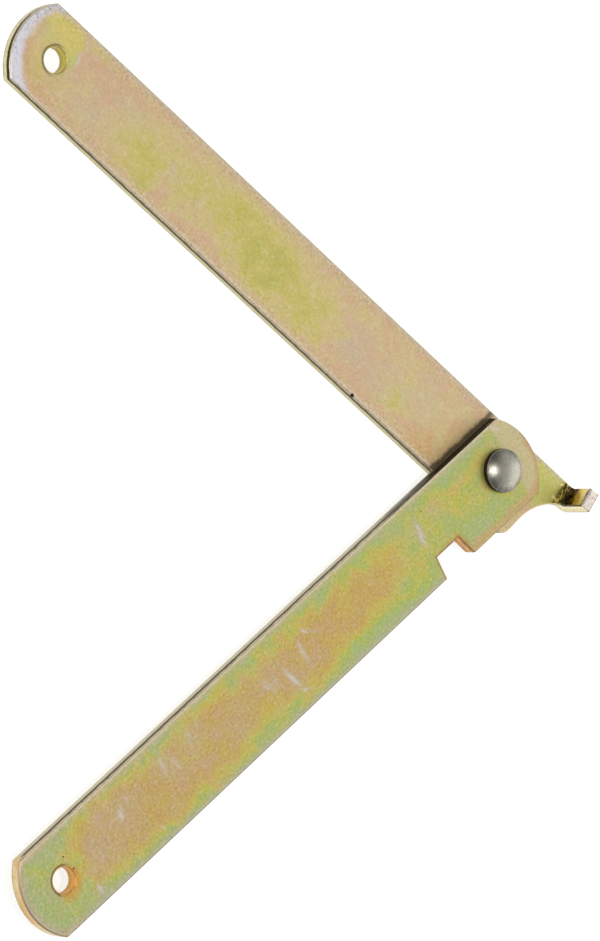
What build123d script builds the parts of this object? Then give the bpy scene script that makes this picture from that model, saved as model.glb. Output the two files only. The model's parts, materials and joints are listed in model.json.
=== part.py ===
from build123d import *
import os
from math import cos, radians, sin, sqrt, tan

# Lid stay: two flat steel bars on one rivet. Opened straight, a bent tab on one bar drops
# into a notch in the other bar and locks the stay just past its dead centre.
#
# The frame: the origin is the middle of the notched arm's screw hole, on that arm's back face.
# +X runs along the notched arm to the pivot, +Z points out of the front, towards the rivet's head.

# Driving dimensions, in millimetres and degrees.
stock_width = 16.0  # flat bar, both arms
stock_thickness = 2.0
arm_pitch = 112.5  # screw hole to pivot, the same on both arms
end_radius = 10.8  # cropping radius of every rounded end
end_margin = 8.5  # screw hole to the crown of the free end
end_corner_radius = 0.5  # where a crown meets the straight sides
screw_hole_diameter = 4.3
die_roll = 0.3  # soft edge that the punch leaves round the front face
arm_play = 0.05  # gap between the two arms
rest_angle = 73.0  # angle between the arms, as modelled

tip_margin = 7.85  # notched arm: pivot to the crown of its tip

tab_width = 3.8  # tab arm: width of the tab at its inner face
tab_reach = 15.8  # pivot to the tab's inner face
tab_rise = 3.1  # height of the tab above the notched arm's front face
tab_end_round = 0.4  # round on the inner edge of the tab's end
bend_radius = 0.5  # inside of the bend
bend_corner_radius = 1.0  # outside of the bend, struck nearly square
relief_radius = 11.3  # hollow that runs from the shoulder into the tab
relief_reach = 20.5  # pivot to the centre of the hollow
shoulder_lean = 14.0  # lean of the shoulder's end beside the hollow
shoulder_radius = 2.5
tab_root_radius = 2.5  # where the hollow runs out into the tab's straight side

over_centre = 1.4  # how far past straight the stay locks
seat_clearance = 0.05  # tab to notch floor, when locked
notch_inner_gap = 1.45  # tab to notch wall, on the pivot's side
notch_outer_gap = 2.05  # tab to notch wall, on the far side
notch_inner_flare = 15.5  # lean of each notch wall
notch_outer_flare = 6.0
nose_radius = 0.9  # corner of the notch on the pivot's side
heel_radius = 0.6  # corner of the notch on the far side
notch_chamfer = 0.95
notch_root_radius = 0.3

shank_diameter = 5.0  # rivet
running_clearance = 0.06  # radial, shank to the notched arm's bore
swage_clearance = 0.02  # radial, rivet to the tab arm
head_diameter = 7.6
head_height = 1.9
head_rim = 1.0  # straight height at the edge of the head
head_edge_radius = 0.3
tail_diameter = 7.4  # rivet tail, closed flush in a countersink
tail_depth = 1.1

# Sizes that follow from them.
half_width = stock_width / 2
end_sag = end_radius - sqrt(end_radius**2 - half_width**2)
screw_radius = screw_hole_diameter / 2
shank_radius = shank_diameter / 2
tab_arm_back = -arm_play - stock_thickness
tab_side = half_width - tab_width
tab_outer = tab_reach + stock_thickness
tab_height = 2 * stock_thickness + arm_play + tab_rise
bend_start = tab_reach - bend_radius
relief_y = tab_side - sqrt(relief_radius**2 - (relief_reach - tab_reach) ** 2)
relief_start_x = relief_reach - relief_radius * cos(radians(shoulder_lean))
relief_start_y = relief_y + relief_radius * sin(radians(shoulder_lean))
shoulder_height = relief_start_y + half_width
shoulder_x = relief_start_x - shoulder_height * tan(radians(shoulder_lean))
seat = tab_side * cos(radians(over_centre)) - tab_reach * sin(radians(over_centre))
notch_floor = seat - seat_clearance
notch_depth = half_width - notch_floor
floor_near = tab_reach - notch_inner_gap
floor_far = tab_outer + notch_outer_gap
mouth_near = floor_near - notch_depth * tan(radians(notch_inner_flare))
mouth_far = floor_far + notch_depth * tan(radians(notch_outer_flare))

# The notched arm lies along X. Distances on it are counted back from the pivot.
with BuildPart() as notched_arm:
    with BuildSketch(Plane.XY):
        with BuildLine():
            free_end = end_sag - end_margin
            tip = arm_pitch + tip_margin
            Line((free_end, half_width), (tip - end_sag, half_width))
            ThreePointArc((tip - end_sag, half_width), (tip, 0), (tip - end_sag, -half_width))
            Line((tip - end_sag, -half_width), (free_end, -half_width))
            ThreePointArc((free_end, -half_width), (-end_margin, 0), (free_end, half_width))
        make_face()
        with BuildLine():
            Polyline(
                (arm_pitch - mouth_near, -half_width),
                (arm_pitch - floor_near, -notch_floor),
                (arm_pitch - floor_far, -notch_floor),
                (arm_pitch - mouth_far, -half_width),
                close=True,
            )
        make_face(mode=Mode.SUBTRACT)
        notch_corners = vertices().filter_by_position(Axis.X, 0, arm_pitch)
        heel, floor_far_corner, floor_near_corner, nose = notch_corners.sort_by(Axis.X)
        fillet(nose, radius=nose_radius)
        fillet(heel, radius=heel_radius)
        fillet(floor_near_corner, radius=notch_root_radius)
        chamfer(floor_far_corner, length=notch_chamfer)
        by_length = vertices().group_by(Axis.X)
        fillet(by_length[0] + by_length[-1], radius=end_corner_radius)
        Circle(screw_radius, mode=Mode.SUBTRACT)
        with Locations((arm_pitch, 0)):
            Circle(shank_radius + running_clearance, mode=Mode.SUBTRACT)
    extrude(amount=stock_thickness)
    front = faces().sort_by(Axis.Z)[-1]
    screw_rim = front.inner_wires().sort_by(Axis.X)[0]
    fillet(front.outer_wire().edges() + screw_rim.edges(), radius=die_roll)
notched_arm.part.label = "notched_arm"

# The tab arm lies under it, turned by the rest angle. Its own x runs from its screw hole
# through the pivot to the tab, and its y points to the side that carries the tab.
along = Vector(cos(radians(-rest_angle)), sin(radians(-rest_angle)), 0)
across = Vector(0, 0, 1).cross(along)
pivot_back = Vector(arm_pitch, 0, tab_arm_back)
tab_arm_plane = Plane(origin=pivot_back, x_dir=along, z_dir=(0, 0, 1))
bend_plane = Plane(origin=pivot_back + across * half_width, x_dir=along, z_dir=-across)

with BuildPart() as tab_arm:
    # Flat bar: rounded free end, leaning shoulder at the other end.
    with BuildSketch(tab_arm_plane):
        with BuildLine():
            free_end = end_sag - end_margin - arm_pitch
            Line((free_end, half_width), (bend_start, half_width))
            Line((bend_start, half_width), (bend_start, relief_start_y))
            Line((bend_start, relief_start_y), (relief_start_x, relief_start_y))
            Line((relief_start_x, relief_start_y), (shoulder_x, -half_width))
            Line((shoulder_x, -half_width), (free_end, -half_width))
            ThreePointArc(
                (free_end, -half_width),
                (-end_margin - arm_pitch, 0),
                (free_end, half_width),
            )
        make_face()
        free_corners = vertices().group_by(Axis.X)[0]
        fillet(free_corners, radius=end_corner_radius)
        shoulder = vertices().group_by(Axis.Y)[0].sort_by(Axis.X)[-1]
        fillet(shoulder, radius=min(shoulder_radius, shoulder_height))
        with Locations((-arm_pitch, 0)):
            Circle(screw_radius, mode=Mode.SUBTRACT)
        Circle(shank_radius + swage_clearance, mode=Mode.SUBTRACT)
    extrude(amount=stock_thickness)
    # The strip beside the shoulder is bent up square, so it can reach through the notch.
    with BuildSketch(bend_plane):
        with BuildLine():
            bend_top = stock_thickness + bend_radius
            CenterArc((bend_start, bend_top), bend_radius, -90, 90)
            Polyline(
                (tab_reach, bend_top),
                (tab_reach, tab_height),
                (tab_outer, tab_height),
                (tab_outer, 0),
                (bend_start, 0),
                (bend_start, stock_thickness),
            )
        make_face()
        fillet(vertices().group_by(Axis.Y)[0].sort_by(Axis.X)[-1], radius=bend_corner_radius)
        fillet(vertices().group_by(Axis.Y)[-1].sort_by(Axis.X)[0], radius=tab_end_round)
    extrude(amount=half_width - relief_start_y)
    # The hollow runs from the shoulder to the tab, whose lower side is straight.
    with BuildSketch(tab_arm_plane):
        with BuildLine():
            RadiusArc((relief_start_x, relief_start_y), (tab_reach, tab_side), relief_radius)
            Polyline(
                (tab_reach, tab_side),
                (tab_outer + stock_thickness, tab_side),
                (tab_outer + stock_thickness, relief_start_y),
                (relief_start_x, relief_start_y),
            )
        make_face()
        tab_root = vertices().group_by(Axis.Y)[-1].sort_by(Axis.X)[0]
        fillet(tab_root, radius=tab_root_radius)
    extrude(amount=tab_height, mode=Mode.SUBTRACT)
    # Countersink for the rivet's tail.
    with Locations(tab_arm_plane):
        Cone(
            bottom_radius=tail_diameter / 2 + swage_clearance,
            top_radius=shank_radius + swage_clearance,
            height=tail_depth,
            align=(Align.CENTER, Align.CENTER, Align.MIN),
            mode=Mode.SUBTRACT,
        )
    # The outline is smooth, so the die roll runs right round it, through the bend and up the tab.
    front = faces().sort_by(SortBy.AREA)[-2:].sort_by(Axis.Z)[-1]
    outline = front.outer_wire().edges().sort_by(SortBy.LENGTH)[-1]
    screw_rim = front.inner_wires().sort_by_distance(pivot_back)[-1]
    fillet([outline] + screw_rim.edges(), radius=die_roll)
tab_arm.part.label = "tab_arm"

# The rivet: shallow domed head in front, plain shank, tail closed flush with the tab arm's back.
pivot_section = Plane(origin=(arm_pitch, 0, 0), x_dir=(1, 0, 0), z_dir=(0, -1, 0))
with BuildPart() as rivet:
    with BuildSketch(pivot_section):
        with BuildLine():
            crown = (0, stock_thickness + head_height)
            rim_top = (head_diameter / 2, stock_thickness + head_rim)
            TangentArc(crown, rim_top, tangent=(1, 0))
            Polyline(
                rim_top,
                (head_diameter / 2, stock_thickness),
                (shank_radius, stock_thickness),
                (shank_radius, tab_arm_back + tail_depth),
                (tail_diameter / 2, tab_arm_back),
                (0, tab_arm_back),
                crown,
            )
        make_face()
        head_edge = vertices().group_by(Axis.X)[-1].sort_by(Axis.Y)[-1]
        fillet(head_edge, radius=head_edge_radius)
    revolve(axis=Axis((arm_pitch, 0, 0), (0, 0, 1)))
rivet.part.label = "rivet"

os.makedirs("parts", exist_ok=True)
export_step(notched_arm.part, "parts/notched_arm.step")
export_step(tab_arm.part, "parts/tab_arm.step")
export_step(rivet.part, "parts/rivet.step")
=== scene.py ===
# %% [markdown]
# # A folding lid stay in yellow zinc plate
# The stay is two punched steel bars and one rivet. Its solids are finished in CAD, so this lesson
# is about surfaces: thin chromate colours over zinc, burnished and torn edges, a bare rivet, and
# light.

import json
from math import radians

import bpy
from mathutils import Matrix, Vector


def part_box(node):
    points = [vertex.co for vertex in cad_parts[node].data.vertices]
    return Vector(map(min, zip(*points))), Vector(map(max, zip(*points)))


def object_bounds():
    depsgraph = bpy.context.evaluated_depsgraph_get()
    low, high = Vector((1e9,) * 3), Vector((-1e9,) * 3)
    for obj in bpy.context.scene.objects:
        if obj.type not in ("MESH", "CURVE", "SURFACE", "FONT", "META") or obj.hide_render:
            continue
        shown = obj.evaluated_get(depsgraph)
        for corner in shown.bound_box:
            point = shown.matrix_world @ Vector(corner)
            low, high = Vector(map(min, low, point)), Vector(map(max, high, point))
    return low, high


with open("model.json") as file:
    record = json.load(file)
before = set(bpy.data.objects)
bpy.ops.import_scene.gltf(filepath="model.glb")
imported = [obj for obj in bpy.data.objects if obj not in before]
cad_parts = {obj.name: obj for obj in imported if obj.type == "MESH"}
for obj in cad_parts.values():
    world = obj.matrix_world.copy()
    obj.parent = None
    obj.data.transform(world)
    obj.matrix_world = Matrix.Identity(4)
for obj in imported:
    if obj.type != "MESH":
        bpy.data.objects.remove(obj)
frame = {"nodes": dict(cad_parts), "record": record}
cad_low, cad_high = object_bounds()
print("nodes:", sorted(frame["nodes"]), "box:", cad_low, cad_high)

# %% [markdown]
# ## Named places
# Every place on the stay follows from a few named points: the two screw holes and the pivot.
# They come from the packed record, so the looks stay on the metal if a length changes. Lengths are
# in metres, as Blender has them; what goes along a bar is in millimetres, as its maker has it.

# %% The stay's own landmarks
MM = 0.001
mounts = {mount["name"]: mount for mount in frame["record"]["mounts"]}
notched_hole = Vector(mounts["notched_arm_screw_hole"]["pos_m"])
tab_hole = Vector(mounts["tab_arm_screw_hole"]["pos_m"])
pivot = Vector(frame["record"]["behaviour"]["joints"][0]["pos_m"])
notched_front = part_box("notched_arm")[1][2]
tab_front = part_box("tab_arm")[0][2] + notched_front
tab_along = (pivot - tab_hole).to_2d().normalized()
pitch = (pivot - notched_hole).length / MM
print("screw hole to pivot", round(pitch, 2), "mm, tab arm runs along", tab_along)

# %% [markdown]
# ## The camera
# A long lens stands about a metre away and looks down on the stay from the side of its free ends.
# A Track To constraint would aim it at the stay, but it can't hold the roll. So the camera's own
# three directions are written down, and a matrix made of them turns it.

# %% Camera
FOCAL_IN_WIDTHS = 10.0
SENSOR = 36.0
CAMERA_RIGHT = Vector((0.6486, -0.4832, 0.5880))
CAMERA_UP = Vector((0.5933, 0.8049, 0.0070))
CAMERA_PLACE = Vector((-0.40158, 0.37189, 0.81588))


def add_camera():
    lens = bpy.data.cameras.new("camera")
    lens.sensor_fit = "HORIZONTAL"
    lens.sensor_width = SENSOR
    lens.lens = FOCAL_IN_WIDTHS * SENSOR
    lens.clip_start, lens.clip_end = 0.01, 50.0
    right = CAMERA_RIGHT.normalized()
    up = (CAMERA_UP - CAMERA_UP.dot(right) * right).normalized()
    rotation = Matrix((right, up, right.cross(up))).transposed()
    camera = bpy.data.objects.new("camera", lens)
    camera.matrix_world = Matrix.Translation(CAMERA_PLACE) @ rotation.to_4x4()
    bpy.context.collection.objects.link(camera)
    bpy.context.scene.camera = camera
    return camera


camera = add_camera()
print("lens", camera.data.lens, "mm, at", camera.location)

# %% [markdown]
# ## Wiring nodes by name
# A worn metal face takes hundreds of shader nodes. Wired by hand in the node editor they would be
# hard to follow, so two helpers do it here: one sets or links an input, and one adds a node and
# wires its inputs in the same call.

# %% Wiring helpers
def plug(tree, value, slot):
    """Sets an input to a number, a tuple, a Field or a socket."""
    if isinstance(value, Field):
        value = value.socket
    if isinstance(value, bpy.types.NodeSocket):
        tree.links.new(value, slot)
    else:
        slot.default_value = value


def node(tree, kind, settings=(), **inputs):
    """Adds a node, with its settings and its inputs by name."""
    made = tree.nodes.new("ShaderNode" + kind)
    for key, value in dict(settings).items():
        setattr(made, key, value)
    for key, value in inputs.items():
        plug(tree, value, made.inputs[key.replace("_", " ")])
    return made


print("helpers for wiring:", plug.__name__, "and", node.__name__)


# %% [markdown]
# ## Fields
# Wear is arithmetic: near an edge, and not under the other arm, and broken up by a noise. Math
# nodes can say that, but sums read better as sums. A Field wraps a socket, so that plus, times
# and minus add the Math nodes. Its rise() is a Map Range with a smooth step, which makes every
# soft edge here.

# %% A number that varies over a surface
class Field:
    """A number that varies over a surface. Fields add, multiply and compare like numbers."""

    def __init__(self, tree, socket):
        self.tree, self.socket = tree, socket

    def maths(self, operation, *others):
        made = node(self.tree, "Math", {"operation": operation})
        for slot, value in zip(made.inputs, (self, *others)):
            plug(self.tree, value, slot)
        return Field(self.tree, made.outputs[0])

    def __add__(self, other):
        return self.maths("ADD", other)

    def __sub__(self, other):
        return self.maths("SUBTRACT", other)

    def __mul__(self, other):
        return self.maths("MULTIPLY", other)

    def __neg__(self):
        return self.maths("MULTIPLY", -1.0)

    def size(self):
        return self.maths("ABSOLUTE")

    def least(self, other):
        return self.maths("MINIMUM", other)

    def most(self, other):
        return self.maths("MAXIMUM", other)

    def inverse(self):
        """What is left of 1."""
        return -self + 1.0

    def rise(self, start, end):
        """0 below start and 1 above end, with a soft step between. It falls where start > end."""
        flip = start > end
        made = node(self.tree, "MapRange", {"interpolation_type": "SMOOTHSTEP"}, Value=self)
        made.inputs["From Min"].default_value = min(start, end)
        made.inputs["From Max"].default_value = max(start, end)
        made.inputs["To Min"].default_value = 1.0 if flip else 0.0
        made.inputs["To Max"].default_value = 0.0 if flip else 1.0
        return Field(self.tree, made.outputs["Result"])


print("a field knows", [name for name in vars(Field) if not name.startswith("_")])


# %% [markdown]
# ## Laying colour on colour
# Plating shows as layers: a film, then frost, rust and scuffs over it. A Mix node lays one colour
# over another by a field, and a Color Ramp turns one field into many colours. Colours are given
# in display steps, as a colour chart gives them, and are turned into the linear light Blender
# adds up.

# %% Colour helpers
def shade(red, green, blue):
    """A colour given in display steps from 0 to 255, as the linear colour Blender works in."""
    linear = []
    for step in (red, green, blue):
        part = step / 255
        linear.append(part / 12.92 if part <= 0.04045 else ((part + 0.055) / 1.055) ** 2.4)
    return (*linear, 1.0)


def tint(tree, under, over, share):
    """One colour laid over another by that share."""
    mixed = node(tree, "Mix", {"data_type": "RGBA"})
    plug(tree, share, mixed.inputs["Factor"])
    plug(tree, under, mixed.inputs[6])
    plug(tree, over, mixed.inputs[7])
    return mixed.outputs[2]


def colours(tree, along, stops):
    """A strip of colours read at a field: [(position, (red, green, blue)), ...]."""
    ramp = node(tree, "ValToRGB", Fac=along)
    strip = ramp.color_ramp
    strip.elements[0].position, strip.elements[0].color = stops[0][0], shade(*stops[0][1])
    strip.elements[1].position, strip.elements[1].color = stops[-1][0], shade(*stops[-1][1])
    for position, colour in stops[1:-1]:
        strip.elements.new(position).color = shade(*colour)
    return ramp.outputs["Color"]


def flecked(tree, colour, noise, light, dark, share):
    """Lays a light colour where a noise is high and a dark one where it is low."""
    colour = tint(tree, colour, light, noise.rise(0.0, 1.4) * share)
    return tint(tree, colour, dark, noise.rise(0.0, -1.4) * share)


print("mid grey in linear light:", round(shade(128, 128, 128)[0], 3))

# %% [markdown]
# ## The floor
# The stay lies on a white ground. A lamp strong enough to turn a floor white would burn out the
# metal, so the white comes from the floor's own glow. Light Path limits that glow to camera,
# mirror and glass rays. It adds no light to the stay, and the grey paper under it still takes the
# shadow.

# %% Floor
FLOOR_GLOW = 0.72
FLOOR_SIZE = 6.0
FLOOR_GAP = 0.0001


def seen_by(tree, *kinds):
    """1 for rays of these kinds, and 0 for the others."""
    rays = node(tree, "LightPath")
    seen = Field(tree, rays.outputs[f"Is {kinds[0]} Ray"])
    for kind in kinds[1:]:
        seen = seen.most(rays.outputs[f"Is {kind} Ray"])
    return seen


def white_floor():
    """A grey paper floor that glows white for the rays that see it."""
    middle = (pivot.x / 2, 0.0, cad_low[2] - FLOOR_GAP)
    bpy.ops.mesh.primitive_plane_add(size=FLOOR_SIZE, location=middle)
    floor = bpy.context.object
    floor.name = "floor"
    material = bpy.data.materials.new("white_sweep")
    material.use_nodes = True
    tree = material.node_tree
    tree.nodes.clear()
    seen = seen_by(tree, "Camera", "Glossy", "Transmission")
    paper = node(tree, "BsdfDiffuse", Color=(0.5, 0.5, 0.5, 1.0))
    glow = node(tree, "Emission", Color=(1.0, 1.0, 1.0, 1.0), Strength=seen * FLOOR_GLOW)
    both = node(tree, "AddShader")
    tree.links.new(paper.outputs[0], both.inputs[0])
    tree.links.new(glow.outputs[0], both.inputs[1])
    tree.links.new(both.outputs[0], node(tree, "OutputMaterial").inputs["Surface"])
    floor.data.materials.append(material)
    return floor


print("floor level", white_floor().location.z)

# %% [markdown]
# ## The room
# Metal shows its surroundings. In an all-white room a domed head looks flat, so a dark strip runs
# across the ceiling, and its mirror image gives the rivet its contrast. The world's Background is
# enough for that: its strength follows the direction a ray leaves in.

# %% Room
ACROSS_CEILING = (0.76, -0.65, 0.0)
CEILING_LEVEL = 0.06
ROOM_LEVEL = 0.85


def white_room():
    """A white room with a dark strip across its ceiling."""
    world = bpy.data.worlds.new("studio")
    bpy.context.scene.world = world
    world.use_nodes = True
    tree = world.node_tree
    tree.nodes.clear()
    direction = node(tree, "TexCoord").outputs["Generated"]
    aside = node(tree, "VectorMath", {"operation": "DOT_PRODUCT"})
    plug(tree, direction, aside.inputs[0])
    aside.inputs[1].default_value = ACROSS_CEILING
    aside = Field(tree, aside.outputs["Value"])
    height = Field(tree, node(tree, "SeparateXYZ", Vector=direction).outputs["Z"])
    strip = aside.size().rise(0.5, 0.15) * height.rise(0.35, 0.7)
    low_mirror = seen_by(tree, "Glossy") * height.rise(0.45, 0.25)
    backdrop = seen_by(tree, "Camera", "Transmission").most(low_mirror)
    level = backdrop.most(strip * (CEILING_LEVEL - ROOM_LEVEL) + ROOM_LEVEL)
    light = node(tree, "Background", Color=(1.0, 1.0, 1.0, 1.0), Strength=level)
    tree.links.new(light.outputs[0], node(tree, "OutputWorld").inputs["Surface"])
    return world


print("world:", white_room().name, "with levels", CEILING_LEVEL, "to", ROOM_LEVEL)

# %% [markdown]
# ## The lamps
# A broad lamp to the right lights the walls, a small one overhead makes the bright spot on the
# rivet's dome, and a fill on the left opens the shadows. Area lamps are used because their size
# sets how soft the shadow beside the upper arm is.

# %% Lamps
LAMP_DISTANCE = 2.0
STAY_MIDDLE = Vector((0.08, 0.04, 0.0))


def lamp(name, towards, size, power):
    """A square lamp that hangs in the given direction from the stay and faces it."""
    light = bpy.data.lights.new(name, "AREA")
    light.size, light.energy = size, power
    hung = bpy.data.objects.new(name, light)
    towards = Vector(towards).normalized()
    hung.location = STAY_MIDDLE + towards * LAMP_DISTANCE
    hung.rotation_euler = towards.to_track_quat("Z", "Y").to_euler()
    bpy.context.collection.objects.link(hung)
    print("lamp", name, "at", hung.location)


lamp("window", (0.7, -0.7, 0.35), 1.6, 9.0)
lamp("overhead", (0.0, 0.0, 1.0), 0.32, 9.0)
lamp("fill", (-0.75, 0.65, 0.45), 1.2, 5.0)
bpy.context.scene.view_settings.view_transform = "Standard"

# %% [markdown]
# ## Noise and ovals on a bar
# Two patterns make all the wear: noise for what is everywhere, and soft ovals for what is in one
# place. Painting by hand would need an image, while ovals are a few numbers each and stay sharp. A
# noise pushes their outlines about, so that no patch looks like an oval in the end.

# %% Patterns
FAR = 1000.0


class Patterns:
    """Noise and soft ovals, in millimetres from the screw hole. A bar gives tree and place."""

    def laid(self, place, location, turn, scale):
        """The place on the bar as seen from a spot of its own, turned and scaled."""
        own = node(self.tree, "Mapping", {"vector_type": "TEXTURE"}, Vector=place)
        own.inputs["Location"].default_value = location
        own.inputs["Rotation"].default_value = (0.0, 0.0, turn)
        own.inputs["Scale"].default_value = scale
        return own.outputs["Vector"]

    def noise(self, size, detail=2.0, stretch=(1.0, 1.0, 1.0), turn=0.0, seed=0.0, rough=0.5):
        """Noise from -1 to 1 whose grains are about that many millimetres across."""
        elsewhere = (seed * 37.0, seed * 19.0, seed * 53.0)
        grains = self.laid(self.place, elsewhere, radians(turn), tuple(size * s for s in stretch))
        cloud = node(self.tree, "TexNoise", Vector=grains, Scale=1.0, Detail=detail)
        cloud.inputs["Roughness"].default_value = rough
        return (Field(self.tree, cloud.outputs[0]) - 0.5) * 4.0

    def patch(self, centre, half, turn=0.0, soft=1.0, place=None):
        """1 in the middle of an oval and 0 outside. soft is the share of its radius that fades."""
        oval = self.laid(place or self.place, (*centre, 0.0), radians(turn), (*half, FAR))
        reach = node(self.tree, "VectorMath", {"operation": "LENGTH"})
        plug(self.tree, oval, reach.inputs[0])
        return Field(self.tree, reach.outputs["Value"]).rise(1.0, 1.0 - soft)

    def patches(self, spots, soft=1.0, place=None):
        """The strongest of some ovals: (along, across, half length, half width, turn, share)."""
        total = None
        for along, across, length, width, turn, share in spots:
            spot = self.patch((along, across), (length, width), turn, soft, place) * share
            total = spot if total is None else total.most(spot)
        return total

    def warped(self, by, amount):
        """The place on the bar, pushed about by a noise, so that ovals get ragged outlines."""
        shift = node(self.tree, "CombineXYZ", X=by * amount, Y=by * -amount)
        moved = node(self.tree, "VectorMath", {"operation": "ADD"})
        plug(self.tree, self.place, moved.inputs[0])
        plug(self.tree, shift.outputs[0], moved.inputs[1])
        return moved.outputs[0]


print("patterns:", [name for name in vars(Patterns) if not name.startswith("_")])


# %% [markdown]
# ## One set of axes for each arm
# The plating colours run along and across a bar, so its material needs the bar's own axes. The
# Object output of Texture Coordinate is fixed to the mesh, so the colours ride with it when it
# folds. The normal tells a wall from a face, and on the tab arm it has to do so round the bend
# too.

# %% Axes of a bar
TAB_END = (4.9, 5.05)
WALL_TURNED = (0.985, 0.9)


class BarAxes(Patterns):
    """Where a point lies on a bar, in millimetres: along from its screw hole, across, and deep."""

    def __init__(self, tree, hole, direction, front, bend=None):
        self.tree = tree
        flat = Vector((1.0, 0.0))
        turn = flat.angle_signed(Vector(direction)) if direction[1] else 0.0
        coordinate = node(tree, "TexCoord")
        corner, unit = (hole.x, hole.y, front), (MM, MM, MM)
        self.place = self.laid(coordinate.outputs["Object"], corner, -turn, unit)
        split = node(tree, "SeparateXYZ", Vector=self.place)
        self.along, self.across, self.up = (Field(tree, out) for out in split.outputs)
        facing = self.laid(coordinate.outputs["Normal"], (0.0, 0.0, 0.0), -turn, (1.0, 1.0, 1.0))
        normal = node(tree, "SeparateXYZ", Vector=facing)
        facing_along, _, facing_up = (Field(tree, out) for out in normal.outputs)
        self.deep = -self.up
        self.front_side = facing_up.rise(-0.3, 0.3)
        flat_side = facing_up.size()
        if bend is not None:
            flat_side = self.round_bend(bend, flat_side, facing_along, facing_up)
        self.wall = flat_side.rise(*WALL_TURNED)

    def round_bend(self, bend, flat_side, facing_along, facing_up):
        """Round the bend the sheet's two sides face along the bar or up, but never across it."""
        self.deep = self.deep.most(self.along - bend)
        self.risen = self.along.rise(bend - 0.7, bend - 0.1)
        self.top = self.up.rise(*TAB_END) * self.risen
        sheet = (facing_up * facing_up + facing_along * facing_along).maths("SQRT")
        near = self.along.rise(bend - 1.4, bend - 1.0)
        return (flat_side * near.inverse() + sheet * near) * self.top.inverse()


print("a wall is where the normal leans from", WALL_TURNED[0], "to", WALL_TURNED[1])

# %% [markdown]
# ## The walls of a punched bar
# A press first shears steel and then tears it. On a real bar the top of the wall is drawn in a
# little, below that it is sheared smooth, a burnish, and the rest is a pale, grainy fracture. The
# burnish is painted near black as a painted dark reflection, and on the lit sides the drawn-in lip
# is a painted highlight. It could be modelled as steps, but they are finer than the mesh needs, so
# a Color Ramp over the depth gives the burnish and noises that are stretched along the bar give
# the torn layers.

# %% Burnish
BURNISH_REFLECTION = [
    (0.0, (104, 84, 44)),
    (0.2, (70, 48, 16)),
    (0.4, (44, 26, 4)),
    (0.8, (50, 32, 5)),
    (1.0, (100, 78, 34)),
]
DRAWN_IN_HIGHLIGHT = shade(216, 202, 166)


def burnished_reflection(bar, depth, lit):
    """The sheared top of a wall: a burnish, painted near black as a painted dark reflection. On
    the lit sides its drawn-in lip gets a painted highlight.
    """
    dark = colours(bar.tree, depth, BURNISH_REFLECTION)
    return tint(bar.tree, dark, DRAWN_IN_HIGHLIGHT, depth.rise(0.26, 0.12) * lit)


print("burnish stops at", [depth for depth, _ in BURNISH_REFLECTION], "mm under the face")


# %% Walls
TORN_BETWEEN = (0.84, 1.12)
TORN_LAYERS = shade(150, 140, 92)
PALE_FOOT = shade(226, 218, 190)
BURR = shade(128, 112, 70)
EVEN_BURR = shade(128, 108, 66)
PITS = shade(138, 122, 74)


def punched_wall(bar, torn_colour, even, even_colour, lit):
    """(colour, roughness, height in mm) of the walls. even: where plating hides the burnish."""
    tree = bar.tree
    ragged = bar.noise(1.8, 3.0, (1.0, 1.0, 4.0), seed=3)
    speckle = bar.noise(0.3, 3.0, seed=4, rough=0.65)
    drawn = bar.noise(0.22, 2.0, (1.0, 1.0, 9.0), seed=5)
    layered = bar.noise(0.5, 3.0, (5.0, 5.0, 0.6), seed=29, rough=0.6)
    depth = bar.deep + ragged * 0.08 + speckle * 0.05
    foot = bar.deep + speckle * 0.05
    torn = depth.rise(*TORN_BETWEEN)
    colour = tint(tree, burnished_reflection(bar, depth, lit), torn_colour, torn)
    colour = tint(tree, colour, TORN_LAYERS, layered.rise(0.1, 0.9) * torn * 0.6)
    colour = tint(tree, colour, PALE_FOOT, depth.rise(1.2, 1.7) * 0.5)
    colour = tint(tree, colour, BURR, foot.rise(1.72, 1.92) * 0.7)
    colour = tint(tree, colour, even_colour, even)
    colour = tint(tree, colour, EVEN_BURR, foot.rise(1.75, 1.95) * even * 0.5)
    colour = tint(tree, colour, PITS, speckle.rise(0.2, 0.9) * torn.most(even) * 0.6)
    height = speckle * torn * 0.03 + drawn * torn.inverse() * 0.008
    return colour, torn * 0.25 + 0.3, height


print("a wall tears between", TORN_BETWEEN, "mm under the face")


# %% [markdown]
# ## From layers to a material
# Each arm gets one material. Its face and its walls are painted apart and joined by the bar's own
# wall mask, so the two finishes meet exactly on the edge. Plated steel is mostly metal with a thin
# clear film, which Metallic just under 1 gives, and a Bump node turns the height into relief.

# %% Material of an arm
SHADE_AND_NICK_DARK = shade(34, 26, 14)
PLATED_METALLIC = 0.8
FILM_GLOSS = 0.3


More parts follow.
